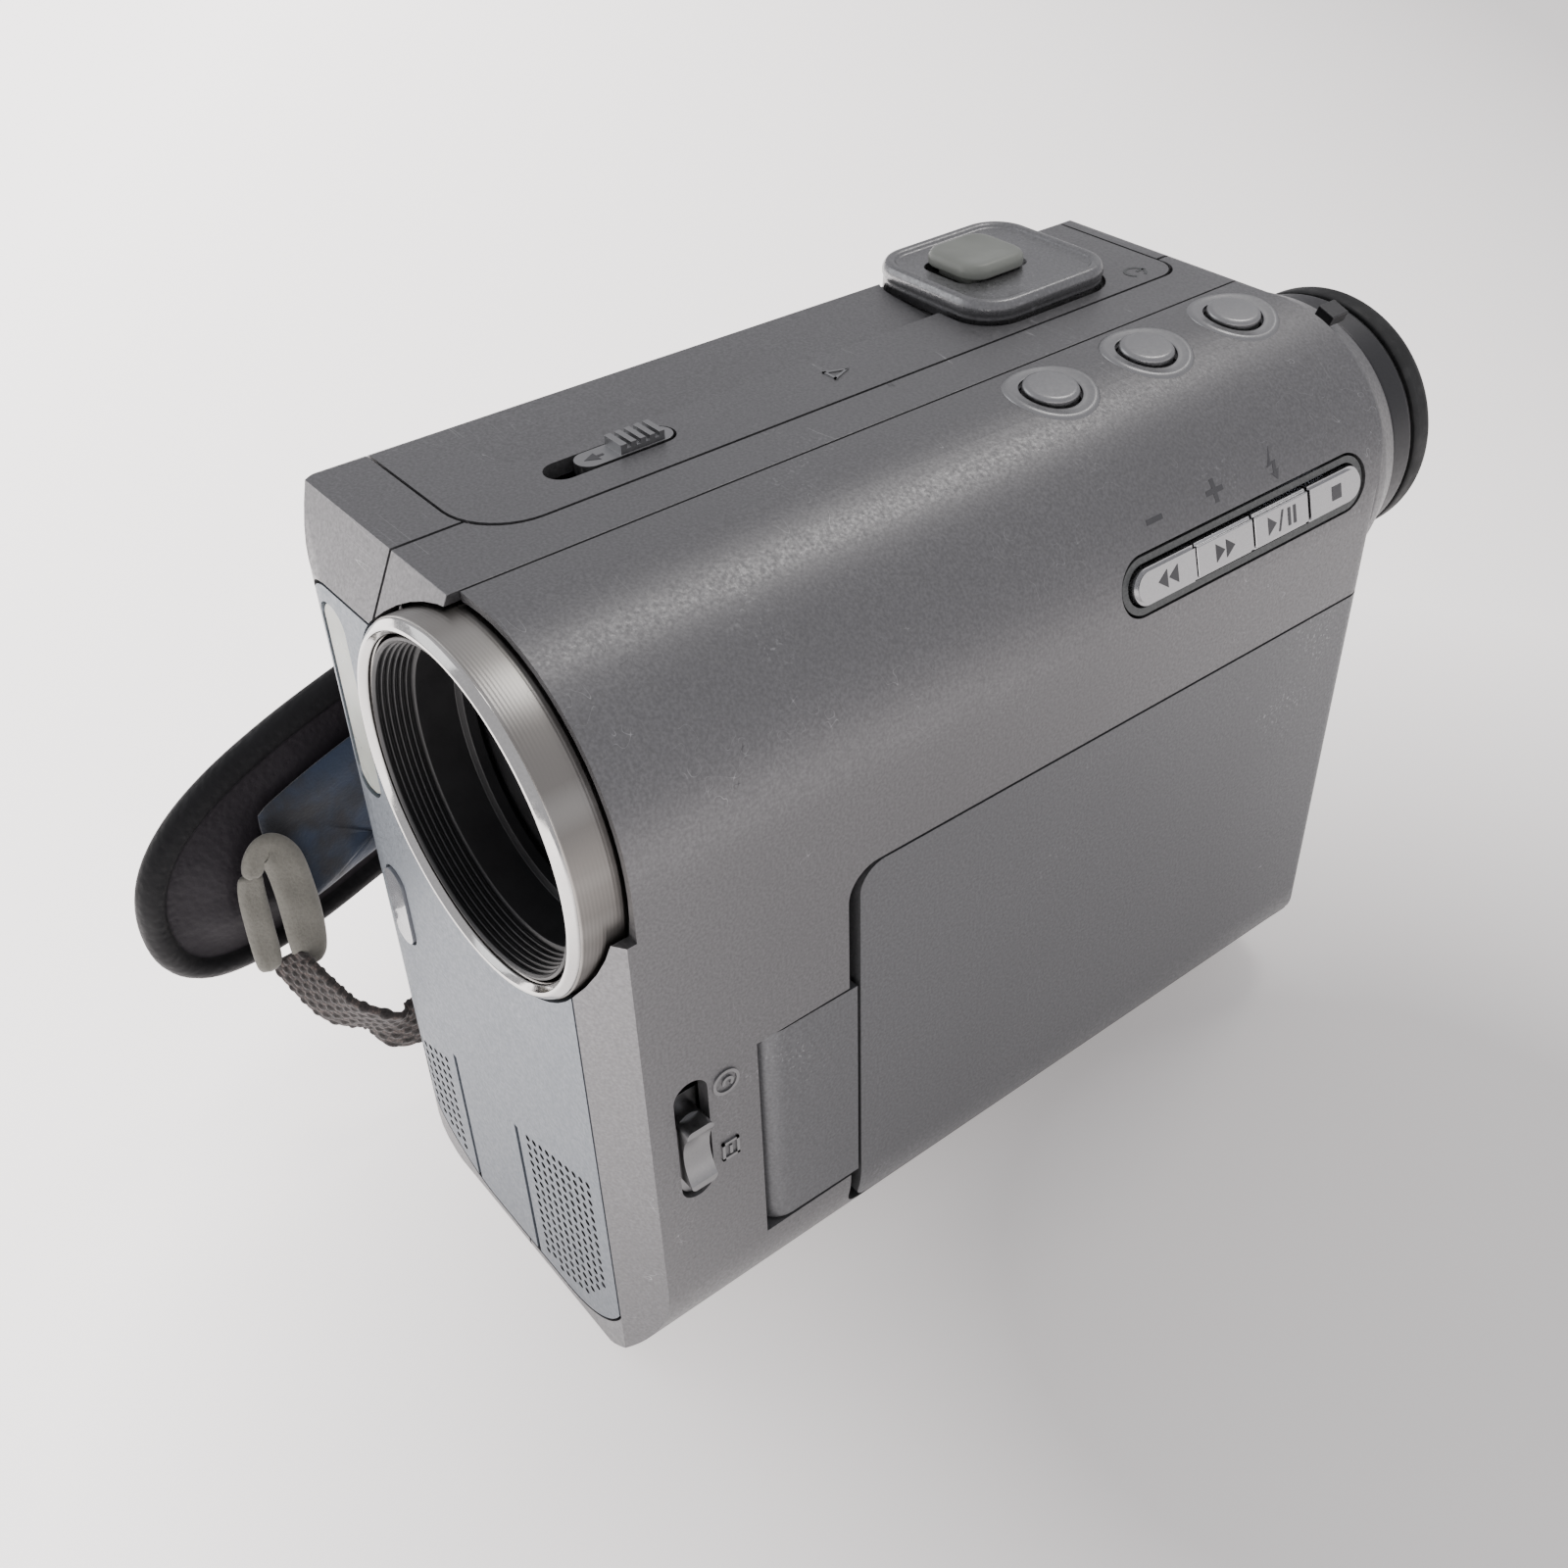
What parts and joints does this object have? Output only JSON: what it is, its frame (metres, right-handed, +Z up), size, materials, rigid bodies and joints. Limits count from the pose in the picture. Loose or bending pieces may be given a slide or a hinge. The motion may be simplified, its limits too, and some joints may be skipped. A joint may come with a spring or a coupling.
{
  "type": "camcorder",
  "caption": "Compact tape camcorder with a large lens ring, side LCD monitor, cassette door, viewfinder and padded hand strap.",
  "frame": {"origin": "middle of the flat underside that the camcorder rests on", "axes": "+X towards the LCD monitor side, -Y out of the lens, +Y towards the eyecup, +Z up"},
  "size_m": [0.072, 0.1378, 0.0906],
  "materials": {
    "silver_paint": "satin silver-grey paint with a fine sparkle",
    "front_paint": "satin blue-grey paint",
    "panel_paint": "matt silver-grey paint",
    "ring_metal": "turned, fine circumferential lines, polished bevel",
    "tube_metal": "satin",
    "bright_button": "bright silver, slightly worn",
    "zoom_knob": "grey-green, edges worn pale",
    "black_lens_parts": "matt black",
    "dark_plastic": "matt dark grey",
    "battery_case": "fine texture",
    "eyecup_rubber": "soft black rubber",
    "lens_glass": "coated glass",
    "screen_glass": "glossy dark screen",
    "window_plastic": "translucent warm white",
    "sensor_window": "clear smoky plastic",
    "strap_leather": "soft black leather, stitched rim",
    "strap_navy": "navy looped fabric",
    "strap_beige": "grey-beige, worn",
    "strap_brown": "brown-black woven webbing",
    "deck_steel": "zinc-plated sheet",
    "drum_aluminium": "polished",
    "circuit_board": "green laminate",
    "bush_brass": "turned"
  },
  "bodies": {
    "root": {"lcd_side_shell": "silver_paint", "top_strip": "silver_paint", "grip_side_frame": "silver_paint", "base_cover": "dark_plastic", "front_panel": "front_paint", "light_window": "window_plastic", "remote_window": "sensor_window", "microphone": "dark_plastic", "rear_panel": "silver_paint", "lens_ring": "ring_metal", "lens_sleeve": "black_lens_parts", "lens_mask": "black_lens_parts", "front_lens": "lens_glass", "lens_barrel": "black_lens_parts", "image_sensor": "circuit_board", "lcd_bay": "dark_plastic", "deck_plate": "deck_steel", "playback_liner": "dark_plastic", "viewfinder_housing": "silver_paint", "viewfinder_tube": "tube_metal", "eyecup": "eyecup_rubber", "eyepiece_lens": "lens_glass", "main_board": "circuit_board", "tripod_bush": "bush_brass"},
    "lcd": {"lcd_cover": "panel_paint", "lcd_bezel": "dark_plastic", "lcd_screen": "screen_glass", "hinge_block": "panel_paint", "lcd_tilt_shaft": "deck_steel"},
    "door": {"cassette_door": "silver_paint", "zoom_platform": "silver_paint", "strap_lug_front": "dark_plastic", "strap_lug_rear": "dark_plastic", "strap_pad": "strap_leather", "strap_liner": "strap_navy", "strap_loop": "strap_beige", "strap_webbing": "strap_brown"},
    "eject": {"eject_switch": "bright_button"},
    "zoom": {"zoom_lever": "zoom_knob"},
    "holder": {"cassette_holder": "deck_steel"},
    "drum": {"head_drum": "drum_aluminium"},
    "supply_reel": {"supply_spindle": "dark_plastic"},
    "takeup_reel": {"takeup_spindle": "dark_plastic"},
    "menu_front": {"menu_button_front": "bright_button"},
    "menu_middle": {"menu_button_middle": "bright_button"},
    "menu_rear": {"menu_button_rear": "bright_button"},
    "rewind": {"rewind_button": "bright_button"},
    "forward": {"forward_button": "bright_button"},
    "play": {"play_button": "bright_button"},
    "stop": {"stop_button": "bright_button"},
    "mode": {"mode_slider": "bright_button"},
    "blade_upper": {"barrier_upper": "black_lens_parts"},
    "blade_lower": {"barrier_lower": "black_lens_parts"},
    "battery": {"battery_pack": "battery_case"},
    "latch": {"battery_latch": "dark_plastic"},
    "dial": {"mode_dial": "dark_plastic"},
    "start_stop": {"start_stop_button": "bright_button"},
    "diopter": {"diopter_lever": "dark_plastic"}
  },
  "joints": [
    {"name": "lcd_hinge", "type": "hinge", "parent": "root", "child": "lcd", "pos_m": [0.0209, -0.0321, 0.03], "axis": [0, 0, -1], "range_deg": [0, 90]},
    {"name": "door_hinge", "type": "hinge", "parent": "root", "child": "door", "pos_m": [-0.0198, 0, 0.00515], "axis": [0, -1, 0], "range_deg": [0, 30]},
    {"name": "holder_hinge", "type": "hinge", "parent": "root", "child": "holder", "pos_m": [-0.021, 0, 0.0341], "axis": [0, -1, 0], "range_deg": [0, 19.6]},
    {"name": "eject_slide", "type": "slide", "parent": "door", "child": "eject", "axis": [0, -1, 0], "range_m": [0, 0.0028], "stiffness_N_per_m": 150},
    {"name": "zoom_slide", "type": "slide", "parent": "door", "child": "zoom", "axis": [0, 1, 0], "range_m": [-0.0015, 0.0015], "stiffness_N_per_m": 200},
    {"name": "drum_spin", "type": "hinge", "parent": "root", "child": "drum", "pos_m": [-0.014, 0.001, 0.0226], "axis": [1, 0, 0], "continuous": true},
    {"name": "supply_spin", "type": "hinge", "parent": "root", "child": "supply_reel", "pos_m": [-0.0075, -0.0142, 0.06], "axis": [1, 0, 0], "continuous": true},
    {"name": "takeup_spin", "type": "hinge", "parent": "root", "child": "takeup_reel", "pos_m": [-0.0075, 0.0161, 0.06], "axis": [1, 0, 0], "continuous": true},
    {"name": "menu_front_press", "type": "slide", "parent": "root", "child": "menu_front", "axis": [-0.125, 0, -0.9922], "range_m": [0, 0.0006], "stiffness_N_per_m": 400},
    {"name": "menu_middle_press", "type": "slide", "parent": "root", "child": "menu_middle", "axis": [-0.125, 0, -0.9922], "range_m": [0, 0.0006], "stiffness_N_per_m": 400},
    {"name": "menu_rear_press", "type": "slide", "parent": "root", "child": "menu_rear", "axis": [-0.125, 0, -0.9922], "range_m": [0, 0.0006], "stiffness_N_per_m": 400},
    {"name": "rewind_press", "type": "slide", "parent": "root", "child": "rewind", "axis": [-0.9641, 0, -0.2656], "range_m": [0, 0.0006], "stiffness_N_per_m": 400},
    {"name": "forward_press", "type": "slide", "parent": "root", "child": "forward", "axis": [-0.9641, 0, -0.2656], "range_m": [0, 0.0006], "stiffness_N_per_m": 400},
    {"name": "play_press", "type": "slide", "parent": "root", "child": "play", "axis": [-0.9641, 0, -0.2656], "range_m": [0, 0.0006], "stiffness_N_per_m": 400},
    {"name": "stop_press", "type": "slide", "parent": "root", "child": "stop", "axis": [-0.9641, 0, -0.2656], "range_m": [0, 0.0006], "stiffness_N_per_m": 400},
    {"name": "mode_slide", "type": "slide", "parent": "root", "child": "mode", "axis": [0, 0, 1], "range_m": [0, 0.0045]},
    {"name": "barrier_open", "type": "slide", "parent": "root", "child": "blade_upper", "axis": [0, 0, 1], "range_m": [0, 0.00625]},
    {"name": "barrier_follow", "type": "slide", "parent": "root", "child": "blade_lower", "axis": [0, 0, 1], "range_m": [-0.00625, 0]},
    {"name": "battery_slide", "type": "slide", "parent": "root", "child": "battery", "axis": [0, 1, 0], "range_m": [0, 0.046]},
    {"name": "latch_slide", "type": "slide", "parent": "root", "child": "latch", "axis": [1, 0, 0], "range_m": [0, 0.0024], "stiffness_N_per_m": 150},
    {"name": "mode_dial_turn", "type": "hinge", "parent": "root", "child": "dial", "pos_m": [-0.0142, 0.0525, 0.0506], "axis": [0, 1, 0], "range_deg": [-45, 45]},
    {"name": "start_stop_press", "type": "slide", "parent": "root", "child": "start_stop", "axis": [0, -1, 0], "range_m": [0, 0.0006], "stiffness_N_per_m": 400},
    {"name": "diopter_turn", "type": "hinge", "parent": "root", "child": "diopter", "pos_m": [0.0048, 0.0546, 0.0678], "axis": [0, 1, 0], "range_deg": [-15, 15]}
  ],
  "couplings": [
    {"joint": "holder_hinge", "follows": "door_hinge", "ratio": 0.65},
    {"joint": "barrier_follow", "follows": "barrier_open", "ratio": -1}
  ]
}
